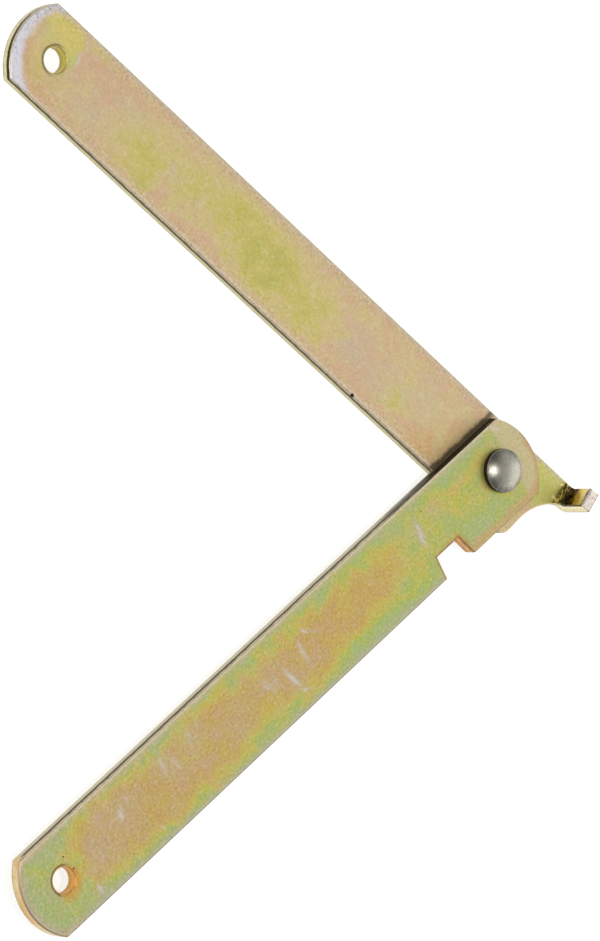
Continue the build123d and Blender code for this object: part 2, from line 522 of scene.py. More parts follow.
def finish_bar(name, bar_node, paint, hole, direction, front, bend=None):
    """paint(bar) gives the face's colour, roughness and height, the walls' look, and the share of
    painted shade and of the nick's dark spot.
    """
    material = bpy.data.materials.new(name)
    material.use_nodes = True
    tree = material.node_tree
    tree.nodes.clear()
    bar = BarAxes(tree, hole, direction, front, bend)
    (face_colour, face_rough, face_height), wall_look, shade_and_nick = paint(bar)
    wall_colour, wall_rough, wall_height = punched_wall(bar, *wall_look)
    colour = tint(tree, face_colour, wall_colour, bar.wall)
    # painted shade beside the tab arm, a painted shadow on the tab arm, and the nick's dark spot
    colour = tint(tree, colour, SHADE_AND_NICK_DARK, shade_and_nick)
    roughness = face_rough * bar.wall.inverse() + wall_rough * bar.wall
    height = face_height * bar.wall.inverse() + wall_height * bar.wall
    relief = node(tree, "Bump", Height=height, Strength=1.0, Distance=MM)
    metal = node(tree, "BsdfPrincipled", Metallic=PLATED_METALLIC, Normal=relief.outputs["Normal"])
    metal.inputs["Specular IOR Level"].default_value = FILM_GLOSS
    plug(tree, colour, metal.inputs["Base Color"])
    plug(tree, roughness, metal.inputs["Roughness"])
    tree.links.new(metal.outputs[0], node(tree, "OutputMaterial").inputs["Surface"])
    for slot in bar_node.material_slots:
        slot.material = material
    print(name, "has", len(tree.nodes), "nodes")
    return material


# %% [markdown]
# ## How far in from the edge
# Plating is thinner near an edge, and hands and neighbours wear it there. So most layers need the
# distance to the bar's outline. An Ambient Occlusion or Bevel node could find edges, but only
# while rendering. The outline is two straight sides and two arcs, so the distance is written out.

# %% Distance to the outline
HALF_WIDTH, END_RADIUS, FREE_MARGIN = 8.0, 10.8, 8.5
NOTCHED_TIP_MARGIN = 7.85
NO_TIP = 40.0  # the tab arm has no rounded tip, so its arc is put out of reach


def outline_distance(bar, tip_margin):
    """How far a point lies inside the outline of a bar with two rounded ends, in millimetres."""
    free_centre = END_RADIUS - FREE_MARGIN
    tip_centre = pitch + tip_margin - END_RADIUS
    beyond = (-bar.along + free_centre).most(bar.along - tip_centre).most(0.0)
    reach = (beyond * beyond + bar.across * bar.across).maths("SQRT")
    return (-bar.across.size() + HALF_WIDTH).least(-reach + END_RADIUS)


print("free ends are arcs of", END_RADIUS, "mm,", FREE_MARGIN, "mm past the screw holes")


# %% [markdown]
# ## Grades of noise
# Real plating varies at every scale at once: whole areas drift, clouds a few millimetres wide lie
# in them, then comes mottle, and last the fine brushing that the steel had before it was plated.
# One fractal noise can't be steered that way, so each grade is a noise of its own.

# %% Noises of a bar
def grade(bar, seeds, drift, cloud, brushing_turn):
    """Gives a bar its five noises. drift and cloud are (size, stretch) along the bar."""
    for_drift, for_cloud, for_mottle, for_speckle, for_brushing = seeds
    bar.drift = bar.noise(drift[0], 2.0, (drift[1], 1.0, 1.0), seed=for_drift)
    bar.cloud = bar.noise(cloud, 3.0, seed=for_cloud)
    bar.mottle = bar.noise(0.8, 4.0, seed=for_mottle, rough=0.75)
    bar.speckle = bar.noise(0.5, 3.0, (1.6, 1.0, 1.0), brushing_turn, for_speckle, 0.7)
    bar.brushed = bar.noise(0.4, 3.0, (4.0, 1.0, 1.0), brushing_turn, for_brushing, 0.65)
    print("noises", seeds, "brushed at", brushing_turn, "degrees to the bar")


# %% [markdown]
# ## Chromate colour
# Yellow passivation is a film thinner than the wavelength of light. Its colour goes with its
# thickness, from silver-lilac where it is thin or worn, over green and yellow, to orange and
# pink. So a face is painted with one number, the film, and a strip of colours turns it into
# metal. On the notched arm the film is thin at the edges and thick along the middle.

# %% The notched arm's film
NOTCHED_GREEN = [
    (104.0, -3.4, 7.0, 4.0, 10, 1.0),
    (103.0, 6.0, 5.0, 2.4, 0, 0.8),
    (98.6, 0.0, 2.2, 2.6, 60, 0.6),
    (66.0, 6.2, 9.0, 2.2, 0, 0.8),
    (72.0, -5.8, 16.0, 2.6, 0, 0.9),
    (85.0, -3.0, 6.0, 2.6, 15, 0.9),
    (-5.0, -1.0, 8.0, 9.0, 0, 0.75),
    (0.0, 5.6, 6.0, 3.6, 0, 0.7),
    (1.0, -5.5, 4.0, 3.0, 0, 0.5),
]
NOTCHED_YELLOW = [
    (104.5, 1.8, 4.0, 2.4, 20, 0.5),
    (88.0, 3.0, 3.0, 2.4, 0, 0.9),
    (80.0, 1.0, 8.0, 3.4, 0, 0.4),
    (42.0, -1.0, 6.0, 3.0, 0, 0.5),
]
NOTCHED_FILM = [
    (0.0, (190, 180, 160)),
    (0.16, (164, 180, 118)),
    (0.34, (168, 182, 94)),
    (0.48, (188, 183, 86)),
    (0.6, (196, 174, 88)),
    (0.8, (193, 162, 92)),
    (1.0, (198, 162, 122)),
]


def notched_film(bar):
    """The colour that the film's thickness gives the notched arm."""
    towards_pivot = (bar.along + bar.cloud * 2.0).rise(74.0, 93.0)
    middle = (bar.along + bar.cloud).rise(0.5, 9.0) * (towards_pivot * -0.85 + 1.0)
    wide = (bar.along + bar.drift * 3.0).rise(48.0, 34.0) * bar.along.rise(3.0, 9.0) * 1.5
    rim = bar.inside + wide + bar.drift * 0.8 + bar.cloud * 0.7 + bar.mottle * 0.2
    rim = rim.rise(0.0, 6.6)
    film = rim * (middle * 0.39 + 0.14) + 0.25
    film = film + bar.drift * 0.12 + bar.cloud * 0.17 + bar.mottle * 0.1 + bar.speckle * 0.05
    green = bar.patches(NOTCHED_GREEN, place=bar.ragged)
    yellow = bar.patches(NOTCHED_YELLOW, place=bar.ragged)
    film = (film - green * 0.17 + yellow * 0.12).most(rim * 0.14 + 0.14)
    return colours(bar.tree, film, NOTCHED_FILM)


print("film of the notched arm:", len(NOTCHED_GREEN), "green,", len(NOTCHED_YELLOW), "yellow")


# %% [markdown]
# ## Frost
# Where handling has thinned the film, zinc shows through it as a lilac grey. It comes in clouds
# that gather round a few places, so a noise and a list of soft ovals are added before they are
# laid on.

# %% Frost on the notched arm
BARE_LILAC = shade(188, 170, 152)
NOTCHED_THINNED = [
    (8.0, -1.0, 6.0, 5.0, 0, 0.9),
    (15.0, 2.5, 7.0, 5.5, 0, 0.9),
    (27.0, 2.8, 5.0, 5.5, 0, 0.9),
    (33.5, 3.6, 5.0, 4.5, 0, 0.8),
    (43.0, -1.0, 5.0, 4.0, 0, 0.4),
    (20.0, 7.4, 16.0, 2.0, 0, 0.8),
    (52.5, 1.0, 5.0, 4.5, 0, 0.7),
    (56.5, -2.0, 4.0, 3.5, 0, 0.8),
    (4.6, -6.0, 3.0, 2.6, 0, 1.0),
    (86.0, 5.6, 3.0, 2.4, 0, 1.0),
    (92.0, 2.0, 2.0, 4.0, -10, 1.0),
    (96.5, 3.4, 3.0, 2.4, 0, 0.9),
    (115.0, 4.4, 4.0, 3.0, 0, 1.0),
    (-3.4, 0.4, 3.0, 3.0, 0, 1.0),
    (-7.0, 4.0, 2.4, 4.0, 20, 0.8),
]


def notched_frost(bar, colour):
    """Zinc that shows through the thinned film."""
    thinned = bar.patches(NOTCHED_THINNED, 0.9, bar.ragged)
    frost = bar.noise(3.4, 3.0, seed=23, rough=0.65) * 0.22 + thinned * 0.32 + 0.08
    spared = (bar.along + bar.cloud * 3.0).rise(60.0, 72.0) * bar.along.rise(92.0, 84.0)
    middle = (bar.inside + bar.cloud * 0.5).rise(1.0, 4.0) * 0.4 + 0.6
    frost = (frost - spared * 0.08) * middle.most(thinned) + 0.03
    return tint(bar.tree, colour, BARE_LILAC, frost.most(0.0).least(0.85))


print("thinned places on the notched arm:", len(NOTCHED_THINNED))


# %% [markdown]
# ## The notch and the screw hole
# Round a punched opening the film breaks and the zinc rusts a little, so the edges turn orange.
# The notch narrows upwards between two leaning walls. Its distance field leans with them: the
# middle and the half width both change with the height above the mouth.

# %% Distance to the notch
NOTCH_MOUTH_MIDDLE, NOTCH_MOUTH_HALF, NOTCH_DEPTH = 95.76, 3.56, 4.24
NOTCH_LEAN, NOTCH_TAPER = 0.086, 0.191


def notch_distance(bar):
    """How far a point lies outside the notch, in millimetres."""
    height = bar.across + HALF_WIDTH
    aside = (bar.along + height * NOTCH_LEAN - NOTCH_MOUTH_MIDDLE).size()
    return (aside + height * NOTCH_TAPER - NOTCH_MOUTH_HALF).most(height - NOTCH_DEPTH)


print("the notch is", 2 * NOTCH_MOUTH_HALF, "mm wide at its mouth and", NOTCH_DEPTH, "mm deep")


# %% Rust and ends of the notched arm
TIP_TAN = shade(200, 184, 146)
END_TAN = shade(196, 166, 122)
NOTCH_RUST = shade(190, 142, 86)
NOTCH_OCHRE = shade(186, 158, 96)
LOWER_TAN = shade(196, 162, 112)
HALO_ORANGE = shade(206, 150, 64)
NOTCHED_HALO = [(0.7, -0.8, 3.3, 3.1, 0, 1.0), (0.0, -1.6, 2.8, 2.9, 0, 0.9)]


def notched_ends(bar, colour):
    """The tip beyond the rivet and the free end's rim: tan, then pale at the very edge."""
    tip = bar.along.rise(pitch + 0.5, pitch + 4.5) + bar.cloud * 0.2
    colour = tint(bar.tree, colour, TIP_TAN, tip.rise(0.2, 0.8) * 0.85)
    end = (bar.inside + bar.cloud * 0.35).rise(1.5, 0.5) * bar.along.rise(1.5, -1.5)
    return tint(bar.tree, colour, END_TAN, end * 0.8)


def notched_rust(bar, colour):
    """Orange where the punch broke through: round the notch and under the screw hole."""
    tree = bar.tree
    beyond = (bar.along + bar.cloud).rise(94.5, 96.5)
    rust = (bar.notch + bar.mottle * 0.25).rise(1.3, 0.2) * beyond
    colour = tint(tree, colour, NOTCH_RUST, rust * 0.8)
    near = (bar.notch + bar.mottle * 0.2).rise(1.1, 0.3)
    colour = tint(tree, colour, NOTCH_OCHRE, near * 0.5)
    lower = (bar.across + bar.cloud * 0.5).rise(-5.6, -7.2) * bar.along.rise(97.0, 100.0)
    colour = tint(tree, colour, LOWER_TAN, lower * 0.8)
    halo = (bar.patches(NOTCHED_HALO, 0.5) + bar.mottle * 0.1).most(0.0)
    return tint(tree, colour, HALO_ORANGE, halo * 0.85)


print("halo under the screw hole:", NOTCHED_HALO)


# %% [markdown]
# ## A thin dark brim
# A screw hole's drawn-in rim gets a thin dark crescent of painted shade on its near side. The brim
# is one oval minus another that lies a little aside, which leaves a crescent.

# %% Brim of a screw hole
BRIM, BRIM_SPARED = 2.85, 3.3


def brimmed(bar, colour, rim_shade, spared_side, share):
    """A crescent of painted shade round the screw hole's near rim, open towards its spared side.
    """
    ring = bar.patch((0.0, 0.0), (BRIM, BRIM), soft=0.08)
    spared = bar.patch(spared_side, (BRIM_SPARED, BRIM_SPARED), soft=0.3)
    return tint(bar.tree, colour, rim_shade, (ring * spared.inverse()).most(0.0) * share)


print("the brim is", BRIM, "mm in radius, its clean side", BRIM_SPARED)


# %% [markdown]
# ## Lines along the edges
# Zinc goes on thickest at an edge and its film wears off first, so a pale line follows the
# outline, with a grey fringe inside it. It stops where the bar's edge lies over the other arm's
# shoulder, and it turns rust red round the tip. Along the lit upper edge both line and fringe are
# painted paler, as a painted highlight.

# %% Edge lines of the notched arm
FRINGE_GREY = shade(174, 172, 146)
FRINGE_TAN_LIT = shade(198, 178, 150)
EDGE_GREY = shade(190, 184, 164)
EDGE_PALE_LIT = shade(226, 210, 184)
TIP_RUST = shade(194, 150, 100)
NOTCH_LINE = shade(140, 98, 54)
ROLLED_EDGE_SHADE = shade(60, 56, 38)


def notched_edges(bar, colour):
    """The fringe and the pale line of the long edges, paler on the lit side as a painted
    highlight, and the tip's rusty line.
    """
    tree = bar.tree
    long_edge = bar.along.rise(pitch + 4.0, pitch + 1.0) * bar.shoulder.inverse()
    lit_upper = bar.across.rise(6.0, 7.5)
    fringe = (bar.inside + bar.mottle * 0.5 + bar.cloud * 0.25).rise(1.9, 0.4) * long_edge
    grey = tint(tree, FRINGE_GREY, FRINGE_TAN_LIT, lit_upper)
    colour = tint(tree, colour, grey, fringe * 0.6)
    line = (bar.inside + bar.mottle * 0.3).rise(0.7, 0.25) * long_edge
    pale = tint(tree, EDGE_GREY, EDGE_PALE_LIT, lit_upper)
    colour = tint(tree, colour, pale, line * 0.7)
    tip_line = (bar.inside + bar.mottle * 0.3 + bar.cloud * 0.2).rise(1.3, 0.2)
    tip_line = tip_line * bar.along.rise(pitch + 3.0, pitch + 5.0) * bar.across.rise(4.5, 0.5)
    return tint(tree, colour, TIP_RUST, tip_line * 0.7)


def notched_outline(bar, colour):
    """The punch's lines: rust round the notch, and a dark line along the lower edges, partly the
    rolled-over edge and partly painted shade.
    """
    notch_line = (bar.beside_notch + bar.mottle * 0.1).rise(0.6, 0.25)
    colour = tint(bar.tree, colour, NOTCH_LINE, notch_line * 0.75)
    rolled_edge_shade = (bar.inside + bar.mottle * 0.04).rise(0.36, 0.1)
    rolled_edge_shade = rolled_edge_shade * bar.shoulder.inverse() * bar.across.rise(6.0, 4.0)
    return tint(bar.tree, colour, ROLLED_EDGE_SHADE, rolled_edge_shade * 0.8)


print("the tip's line begins", round(pitch + 3.0, 2), "mm along the notched arm")

# %% [markdown]
# ## Rubbing and scuffs
# Stays are packed loose and rub on each other. That leaves rubbed spots along the edges and
# scuffs: bundles of short strokes that all run the same way. A scuff is a soft oval that only
# says where, and a stretched noise inside it draws the strokes. A single oval would look like a
# pale blob.

# %% Where the notched arm is rubbed and scuffed
NOTCHED_RUBBED = [
    (10.5, 5.6, 2.2, 1.2, 0, 0.6),
    (38.0, -5.6, 1.8, 1.0, 0, 0.5),
    (6.2, -7.0, 0.9, 0.8, 0, 0.9),
    (20.5, -5.4, 1.3, 0.8, 20, 0.7),
    (28.5, -6.6, 0.9, 0.7, 0, 0.6),
    (34.2, -6.4, 0.6, 0.9, 0, 0.5),
    (9.0, -6.8, 1.2, 0.6, 0, 0.6),
    (14.8, 7.0, 1.6, 0.7, 0, 0.6),
    (-5.8, 4.6, 2.0, 1.6, 50, 0.5),
    (91.8, 5.6, 1.2, 1.0, 70, 0.3),
    (pitch + 3.6, 6.3, 2.2, 0.9, -32, 0.95),
    (61.5, -5.2, 1.0, 0.8, 0, 0.35),
    (44.5, -6.3, 1.2, 0.6, 10, 0.5),
]
NOTCHED_SCUFFS = [
    (51.4, 0.4, 3.8, 1.4, 118, 0.7),
    (53.2, -0.6, 3.4, 0.9, 110, 0.6),
    (56.0, -1.4, 5.2, 1.2, 106, 0.95),
    (57.3, -4.8, 1.8, 0.8, 150, 0.85),
    (60.4, 0.6, 4.8, 1.1, 88, 0.9),
    (62.8, 3.2, 2.4, 0.9, 145, 0.8),
    (64.3, 2.0, 1.8, 0.8, 140, 0.7),
    (92.0, 1.4, 4.8, 1.2, 84, 1.0),
    (15.2, 1.8, 2.8, 1.3, 66, 0.85),
    (17.4, 2.6, 2.4, 1.0, 84, 0.7),
    (26.4, 2.8, 4.0, 1.2, 80, 0.75),
    (29.0, 1.6, 3.0, 1.0, 96, 0.7),
    (33.5, 3.6, 2.8, 1.1, 70, 0.7),
    (36.0, 4.4, 2.2, 0.8, 60, 0.6),
    (4.8, -5.7, 1.6, 1.0, 95, 1.0),
    (8.0, 2.0, 3.0, 1.2, 60, 0.45),
]
NOTCHED_LINES = [
    (8.0, -2.0, 2.4, 0.24, 55, 0.45),
    (11.0, 4.0, 2.6, 0.22, 60, 0.4),
    (40.5, 3.0, 2.4, 0.2, 62, 0.35),
    (19.0, -1.0, 3.0, 0.2, 58, 0.4),
    (47.0, -3.0, 2.0, 0.2, 64, 0.35),
    (56.3, -2.4, 2.6, 0.28, 108, 0.8),
    (60.6, 1.8, 2.4, 0.24, 80, 0.6),
    (92.2, 2.2, 2.8, 0.26, 80, 0.8),
]
NOTCHED_SPECKS = [
    (2.1, 3.2, 0.3, 0.3, 0, 1.0),
    (2.6, 0.4, 0.32, 0.32, 0, 1.0),
    (94.4, 4.7, 0.3, 0.3, 0, 0.7),
]
print("scuffs on the notched arm:", len(NOTCHED_SCUFFS))

# %% Wear of the notched arm
def notched_wear(bar):
    """Gives the bar its haze round the scuffs, its scratches and its bare metal."""
    rubbed = bar.patches(NOTCHED_RUBBED, place=bar.ragged)
    rubbed = (rubbed + bar.mottle * 0.5).rise(0.35, 1.1) * 0.75
    strokes = bar.noise(0.3, 2.0, (7.0, 1.0, 1.0), turn=112, seed=28)
    scuffs = bar.patches(NOTCHED_SCUFFS)
    bar.haze = (scuffs * 1.3 + bar.mottle * 0.2).rise(0.1, 1.0) * bar.front_side
    scuffed = (scuffs * 0.9 + strokes * 0.55).rise(0.5, 1.15) * scuffs.rise(0.0, 0.4)
    lines = bar.patches(NOTCHED_LINES, 0.9)
    bar.scratches = scuffed.most((lines + bar.mottle * 0.2).rise(0.15, 0.9))
    bar.bare = rubbed.most(bar.scratches) * bar.front_side
    print("rubbed spots:", len(NOTCHED_RUBBED), "single lines:", len(NOTCHED_LINES))


# %% [markdown]
# ## Brush marks and flecks
# The strip was brushed before plating, and the marks show through, most of all at the free end,
# where the film is thick. Over them lie light and dark flecks of two sizes. Both come from noises
# that are read twice: where a noise is high it lightens, and where it is low it darkens, so the
# mean colour stays.

# %% Surface of the notched arm
BRUSHED_LIGHT = shade(212, 196, 176)
BRUSHED_DARK = shade(162, 134, 84)
MOTTLE_LIGHT = shade(214, 202, 176)
MOTTLE_DARK = shade(150, 134, 84)
GRIT_LIGHT = shade(232, 220, 194)
GRIT_DARK = shade(112, 98, 62)
SCUFF_HAZE = shade(194, 180, 162)
RUBBED_ZINC = shade(208, 200, 190)


def notched_flecks(bar, colour):
    """Brush marks, then flecks of two sizes."""
    tree = bar.tree
    grit = bar.noise(0.5, 1.0, seed=24)
    brushing = bar.brushed * (bar.along.rise(45.0, 12.0) * 0.7 + 0.3)
    colour = tint(tree, colour, BRUSHED_LIGHT, brushing.rise(0.1, 1.1) * 0.5)
    colour = tint(tree, colour, BRUSHED_DARK, brushing.rise(-0.1, -1.1) * 0.4)
    colour = flecked(tree, colour, bar.mottle, MOTTLE_LIGHT, MOTTLE_DARK, 0.3)
    return flecked(tree, colour, grit, GRIT_LIGHT, GRIT_DARK, 0.3)


def notched_scuffed(bar, colour):
    """Haze and bare zinc where the arm is worn."""
    colour = tint(bar.tree, colour, SCUFF_HAZE, bar.haze * 0.45)
    return tint(bar.tree, colour, RUBBED_ZINC, bar.bare * 0.8)


def notched_relief(bar):
    """(roughness, height in millimetres) of the face: bare spots are smoother, scratches lower."""
    roughness = bar.mottle * 0.05 + (-bar.bare * 0.08 + 0.44)
    grain = bar.noise(0.2, 3.0, seed=8)
    height = grain * 0.002 + bar.mottle * 0.003 + bar.brushed * 0.001 - bar.scratches * 0.012
    print("nodes of the notched arm's face:", len(bar.tree.nodes))
    return roughness, height


# %% [markdown]
# ## Walls that took the colour evenly
# The walls of the hole, the notch and the free end are plated right over the burnish and show no
# dark line. The long upper wall shows it, and near the pivot, where it stands beside the tab arm,
# painted shade darkens all of it.

# %% Walls of the notched arm
END_WALL_PALE = shade(228, 206, 162)
END_WALL_ORANGE = shade(216, 178, 120)
END_WALL_LIP = shade(178, 150, 112)
PIVOT_WALL_ORANGE = shade(214, 156, 92)
PIVOT_WALL_BROWN = shade(150, 112, 66)
NOTCH_WALL_OLIVE = shade(140, 122, 82)
HOLE_WALL_ORANGE = shade(222, 164, 76)
HOLE_REACH = 2.6
NOTCHED_TORN = shade(206, 196, 162)


def notched_walls(bar):
    """(torn colour, even share, even colour, lit side) of the notched arm's walls."""
    tree = bar.tree
    hole = bar.patch((0.0, 0.0), (HOLE_REACH, HOLE_REACH), soft=0.1)
    end_wall = bar.along.rise(-3.0, -5.0)
    notch_wall = bar.notch.rise(1.0, 0.6) * bar.across.rise(-7.9, -7.4)
    end_colour = tint(tree, END_WALL_PALE, END_WALL_ORANGE, bar.cloud.rise(-0.6, 0.6))
    end_colour = tint(tree, END_WALL_LIP, end_colour, bar.deep.rise(0.1, 0.4))
    worn_orange = bar.mottle.rise(-0.3, 0.7)
    pivot_wall = tint(tree, PIVOT_WALL_ORANGE, PIVOT_WALL_BROWN, worn_orange)
    notch_colour = tint(tree, NOTCH_WALL_OLIVE, pivot_wall, bar.along.rise(97.6, 98.2))
    punched = tint(tree, HOLE_WALL_ORANGE, notch_colour, notch_wall)
    even_colour = tint(tree, end_colour, punched, hole.most(notch_wall) * 0.9)
    even = hole.most(end_wall).most(notch_wall)
    return NOTCHED_TORN, even, even_colour, bar.across.rise(1.0, 5.0)


def notched_wall_shade(bar):
    """Painted shade on the wall beside the tab arm: it darkens the wall as it nears the pivot,
    with paler streaks and a paler foot.
    """
    streak = bar.noise(0.6, 3.0, (8.0, 1.0, 0.5), seed=30, rough=0.6)
    shaded_wall = (bar.along + bar.cloud * 4.0).rise(80.0, 103.0) * bar.across.rise(7.4, 7.9) * bar.wall
    shaded_wall = shaded_wall * (-(streak.rise(0.2, 0.9)) * 0.2 + 0.95)
    shaded_wall = shaded_wall * (-(bar.deep.rise(1.35, 1.7)) * 0.4 + 1.0)
    print("grease ends", round(pitch + 6.5, 2), "mm along the notched arm")
    return shaded_wall * bar.along.rise(pitch + 6.5, pitch + 5.0)


# %% [markdown]
# ## The notched arm, layer by layer
# What is laid last shows most, so the order matters. The colours of the bath come first: film,
# frost and rust. The painted shade on the screw hole's rim and the worn edges follow, then the
# brush marks and the flecks, which have to show through all of them. Scuffs and the lines of the
# outline cut through everything and come last.

# %% Finish the notched arm
NOTCHED_RIM_SHADE = shade(96, 72, 40)
SPECK = shade(70, 60, 36)
NOTCHED_BRUSHING = 55


def paint_notched(bar):
    grade(bar, (1, 2, 6, 9, 7), (11.0, 1.6), 3.2, NOTCHED_BRUSHING)
    bar.inside = outline_distance(bar, NOTCHED_TIP_MARGIN)
    bar.ragged = bar.warped(bar.cloud, 0.8)
    bar.beside_notch = notch_distance(bar)
    bar.notch = bar.beside_notch + bar.cloud * 0.25
    bar.shoulder = bar.along.rise(99.0, 101.0) * bar.across.rise(-2.0, -4.0)
    notched_wear(bar)
    colour = notched_film(bar)
    for layer in (notched_frost, notched_ends, notched_rust):
        colour = layer(bar, colour)
    # painted shade on the screw hole's near rim
    colour = brimmed(bar, colour, NOTCHED_RIM_SHADE, (0.9, -0.9), 0.8)
    for layer in (notched_edges, notched_flecks, notched_scuffed, notched_outline):
        colour = layer(bar, colour)
    specks = bar.patches(NOTCHED_SPECKS).rise(0.2, 0.7) * bar.front_side
    colour = tint(bar.tree, colour, SPECK, specks)
    return (colour, *notched_relief(bar)), notched_walls(bar), notched_wall_shade(bar)


notched_node = frame["nodes"]["notched_arm"]
along_x = (1.0, 0.0)
finish_bar(
    "yellow_zinc_notched", notched_node, paint_notched, notched_hole, along_x, notched_front
)

# %% [markdown]
# ## The tab arm's film
# The tab arm went through the same bath but came out pinker, with one long olive cloud where it
# lay on its neighbour, and gold round its screw hole. So the same steps make it, with its own
# places.

# %% The tab arm's film
TAB_OLIVE = [
    (24.0, -1.0, 13.0, 8.0, 10, 0.7),
    (24.5, -4.6, 5.0, 3.6, 0, 0.8),
    (36.0, 0.0, 13.0, 8.0, 0, 0.75),
    (44.5, 1.0, 10.0, 8.5, 0, 1.0),
    (52.5, -0.5, 14.0, 9.5, -5, 1.12),
    (64.0, -2.0, 13.0, 8.5, 0, 0.75),
    (88.5, -2.6, 6.0, 4.0, 0, 0.6),
    (8.0, 6.6, 6.0, 2.4, 0, 0.5),
]
TAB_GOLD = [
    (-1.6, 5.0, 5.0, 3.6, 0, 1.0),
    (0.8, 4.4, 3.0, 4.4, 0, 1.0),
    (-2.4, 0.0, 2.6, 7.0, 0, 0.45),
]
TAB_FILM = [
    (0.0, (182, 178, 92)),
    (0.2, (190, 182, 98)),
    (0.4, (199, 186, 108)),
    (0.6, (203, 187, 128)),
    (0.8, (205, 183, 136)),
    (1.0, (206, 172, 138)),
]


def tab_film(bar):
    """The colour that the film's thickness gives the tab arm."""
    bar.olive = bar.patches(TAB_OLIVE, 0.8, bar.ragged)
    bar.gold = bar.patches(TAB_GOLD, 0.7, bar.ragged)
    film = -(bar.olive * 0.6) + 0.88 - bar.gold * 0.5
    film = film + bar.drift * 0.14 + bar.cloud * 0.26 + bar.mottle * 0.16 + bar.speckle * 0.08
    return colours(bar.tree, film, TAB_FILM)


print("film of the tab arm:", len(TAB_OLIVE), "olive,", len(TAB_GOLD), "gold")


# %% [markdown]
# ## Clouds of colour on the tab arm
# Pink runs along both long edges, a grey cloud lies past the middle, and orange shows under the
# free end's edge and beside the overlap. Frost lies between them, but not on the olive or the
# gold.

# %% Clouds on the tab arm
EDGE_PINK = shade(200, 170, 138)
CLOUD_GREY = shade(190, 180, 158)
CLOUD_ORANGE = shade(200, 160, 106)
BARE_GREY = shade(194, 182, 160)
TAB_GREY = [
    (75.5, -2.5, 5.0, 3.6, 0, 0.8),
    (83.0, -4.0, 7.0, 3.0, 0, 0.5),
    (90.0, -1.5, 4.0, 4.0, 0, 0.35),
]
TAB_ORANGE = [
    (-3.0, -4.6, 5.0, 3.0, 30, 0.8),
    (1.0, -6.0, 6.0, 2.4, 0, 0.7),
    (97.5, -5.0, 8.0, 3.4, 30, 1.3),
    (102.0, -1.0, 5.0, 6.0, 0, 0.9),
]
TAB_THINNED = [
    (77.0, 0.5, 5.0, 6.0, 0, 1.0),
    (84.0, -1.0, 9.0, 5.0, 0, 0.75),
    (93.0, 2.0, 5.0, 6.0, 0, 0.8),
    (31.0, -0.5, 4.0, 3.5, 0, 0.8),
    (36.0, -2.0, 4.0, 3.0, 0, 0.7),
    (10.0, -2.0, 8.0, 5.0, 0, 0.8),
    (17.0, 2.0, 6.0, 4.0, 0, 0.6),
]


def tab_clouds(bar, colour):
    """Pink edges, a grey cloud and orange at the two ends."""
    tree = bar.tree
    pink = (bar.inside + bar.drift * 0.5).rise(2.4, 0.6)
    pink = pink * bar.along.rise(4.0, 10.0) * bar.along.rise(112.0, 104.0)
    colour = tint(tree, colour, EDGE_PINK, pink * 0.5)
    grey = bar.patches(TAB_GREY, place=bar.ragged)
    colour = tint(tree, colour, CLOUD_GREY, grey * 0.6)
    orange = (bar.patches(TAB_ORANGE, place=bar.ragged) + bar.mottle * 0.1).most(0.0)
    return tint(tree, colour, CLOUD_ORANGE, orange * 0.6)


def tab_frost(bar, colour):
    """Zinc that shows through the thinned film."""
    thinned = bar.patches(TAB_THINNED, 0.9, bar.ragged)
    frost = bar.noise(3.2, 3.0, seed=25, rough=0.65) * 0.2 + thinned * 0.36 + 0.02
    frost = frost - bar.olive * 0.12 - bar.gold * 0.2
    return tint(bar.tree, colour, BARE_GREY, frost.most(0.0).least(0.85))


print("clouds:", len(TAB_GREY), "grey,", len(TAB_ORANGE), "orange,", len(TAB_THINNED), "thinned")


# %% [markdown]
# ## Gold, green and rust
# The film pooled gold and leaf green round the screw hole, and stayed green on the tongue that
# carries the tab. A strip of rust lies where the notched arm's tip ends over it.

# %% Both ends of the tab arm
HOLE_GOLD = shade(212, 196, 110)
LEAF_GREEN = shade(184, 194, 108)
TONGUE_GREEN = shade(198, 197, 106)
TONGUE_LIME = shade(188, 196, 100)
TONGUE_RUST = shade(196, 150, 88)
RING_OLIVE = shade(182, 172, 110)
TAB_LEAF = [
    (2.8, 1.6, 2.4, 2.6, 0, 1.0),
    (2.0, -3.4, 2.8, 2.0, 0, 0.6),
    (-3.6, 3.0, 1.8, 2.4, 30, 0.5),
]
TAB_GREEN = [(pitch + 8.0, 3.5, 4.5, 4.5, 0, 1.0), (1.9, 1.7, 1.9, 1.7, 0, 0.8)]
TAB_RUST = [(pitch + 8.2, 2.0, 1.3, 5.0, 8, 1.0)]
TAB_RING = 3.1


def tab_ends(bar, colour):
    """Gold and green round the screw hole, green on the tongue, and a strip of rust."""
    tree = bar.tree
    gold = (bar.gold + bar.mottle * 0.1 + bar.cloud * 0.15).rise(0.1, 0.9)
    colour = tint(tree, colour, HOLE_GOLD, gold * 0.65)
    leaf = bar.patches(TAB_LEAF, place=bar.ragged)
    colour = tint(tree, colour, LEAF_GREEN, leaf * 0.7)
    beside = (bar.across + bar.cloud * 0.6).rise(-1.0, 1.5)
    tongue = bar.along.rise(pitch + 5.0, pitch + 8.0) * beside
    colour = tint(tree, colour, TONGUE_GREEN, tongue * 0.85)
    green = bar.patches(TAB_GREEN, place=bar.ragged)
    colour = tint(tree, colour, TONGUE_LIME, green * 0.6)
    rust = bar.patches(TAB_RUST, place=bar.ragged)
    colour = tint(tree, colour, TONGUE_RUST, rust * 0.6)
    ring = bar.patch((0.0, 0.0), (TAB_RING, TAB_RING), 0.0, 0.3, bar.ragged)
    return tint(tree, colour, RING_OLIVE, ring * 0.5)


print("the ring round the tab arm's screw hole is", TAB_RING, "mm in radius")


# %% [markdown]
# ## The worn crescent
# The tab arm's free end has rubbed bare in a crescent along its arc. Its inner side is an arc too,
# but shifted, so the crescent is wider on one side: the distance to the arc plus a lean across.

